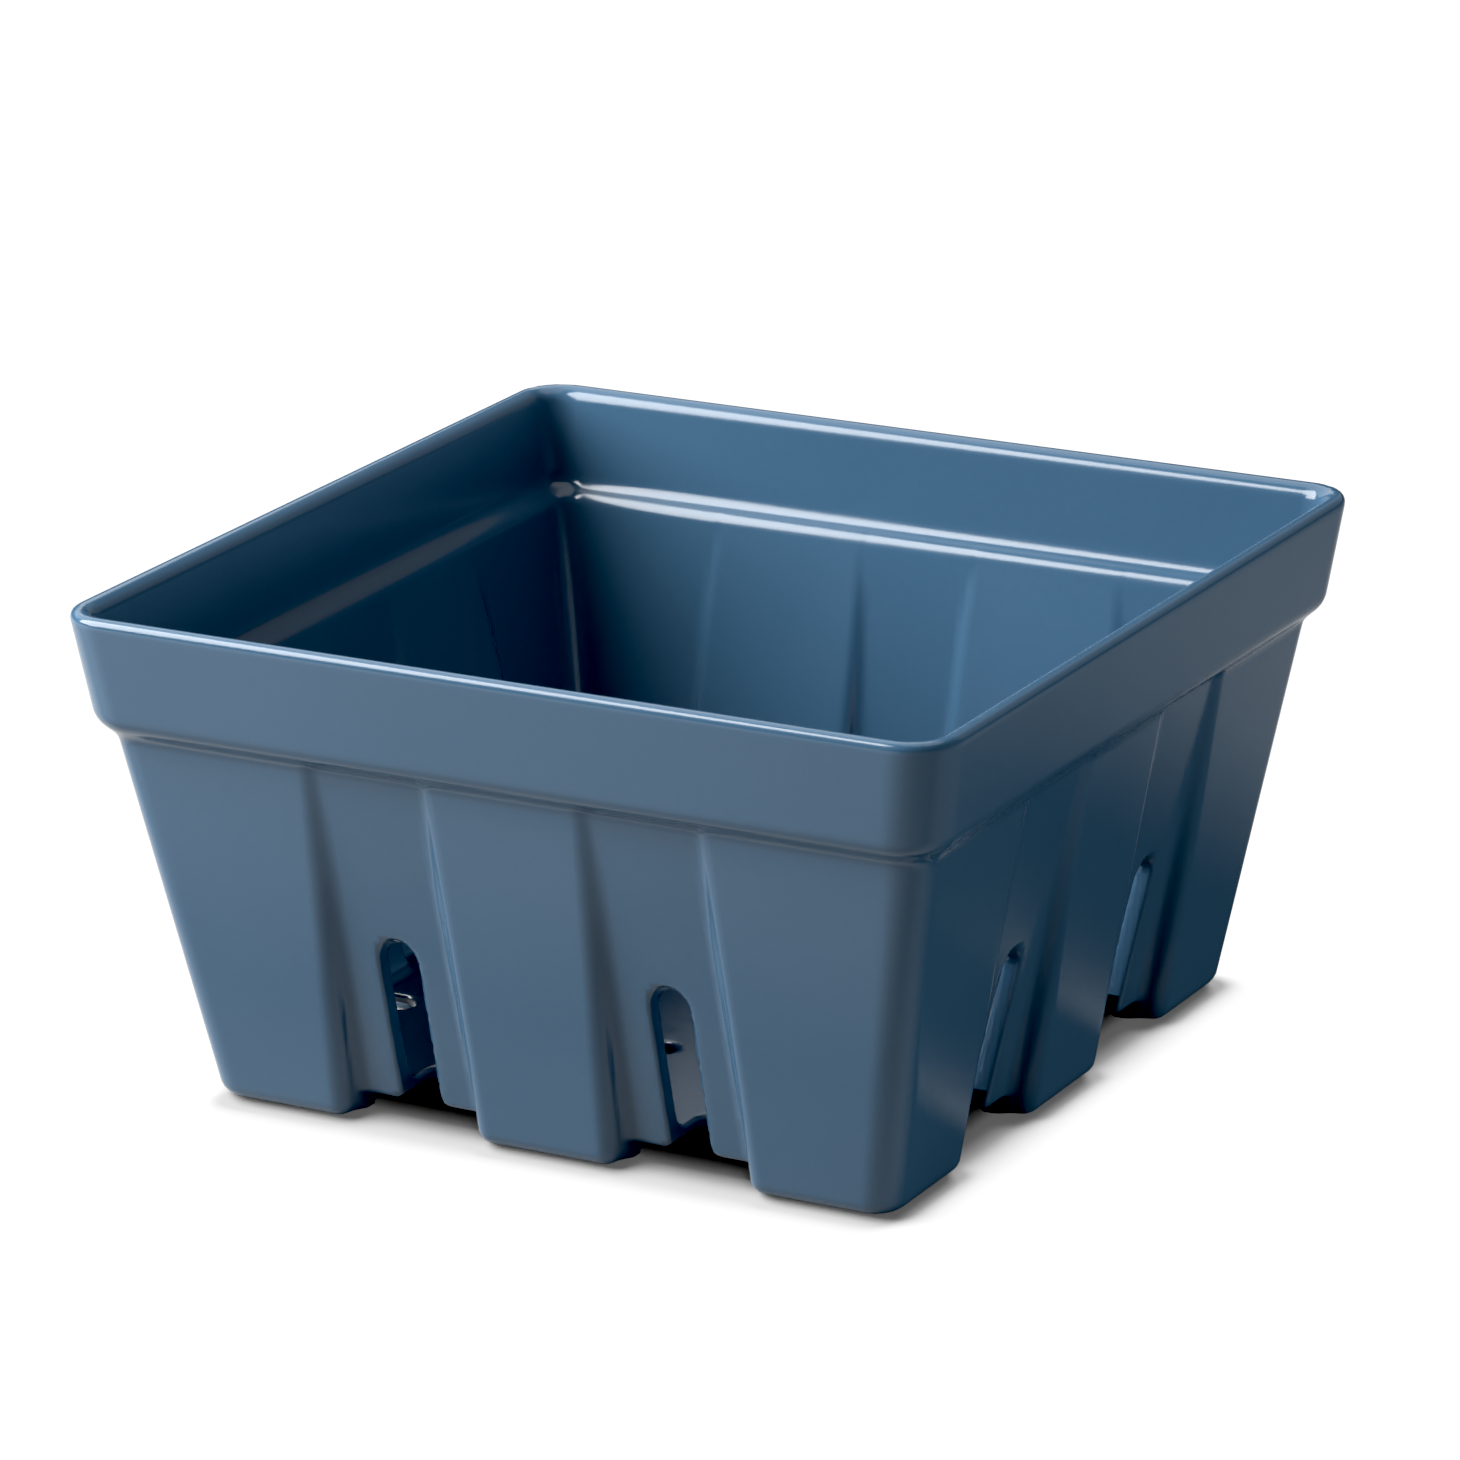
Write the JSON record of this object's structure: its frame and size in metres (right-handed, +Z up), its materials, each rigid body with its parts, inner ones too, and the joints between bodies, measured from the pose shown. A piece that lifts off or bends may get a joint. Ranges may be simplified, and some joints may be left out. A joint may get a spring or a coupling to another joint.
{
  "type": "berry colander",
  "caption": "Square tapered berry-box colander with a collar band and rounded lip, fluted sides with arched drain slots, raised feet and a floor with drain holes.",
  "frame": {"origin": "centre of the base, on the plane that the feet stand on", "axes": "+Z up through the open top, -Y towards the front side, +X towards the right side"},
  "size_m": [0.14, 0.14, 0.075],
  "materials": {
    "moulded_blue": "slate-blue moulded melamine, semi-gloss, soft reflections"
  },
  "bodies": {
    "root": {"collar_front": "moulded_blue", "collar_right": "moulded_blue", "collar_back": "moulded_blue", "collar_left": "moulded_blue", "corner_post_front_left": "moulded_blue", "corner_post_front_right": "moulded_blue", "corner_post_back_right": "moulded_blue", "corner_post_back_left": "moulded_blue", "middle_post_front": "moulded_blue", "middle_post_right": "moulded_blue", "middle_post_back": "moulded_blue", "middle_post_left": "moulded_blue", "flute_panel_front_left": "moulded_blue", "flute_panel_front_right": "moulded_blue", "flute_panel_right_front": "moulded_blue", "flute_panel_right_back": "moulded_blue", "flute_panel_back_right": "moulded_blue", "flute_panel_back_left": "moulded_blue", "flute_panel_left_back": "moulded_blue", "flute_panel_left_front": "moulded_blue", "drain_floor": "moulded_blue"}
  },
  "joints": []
}
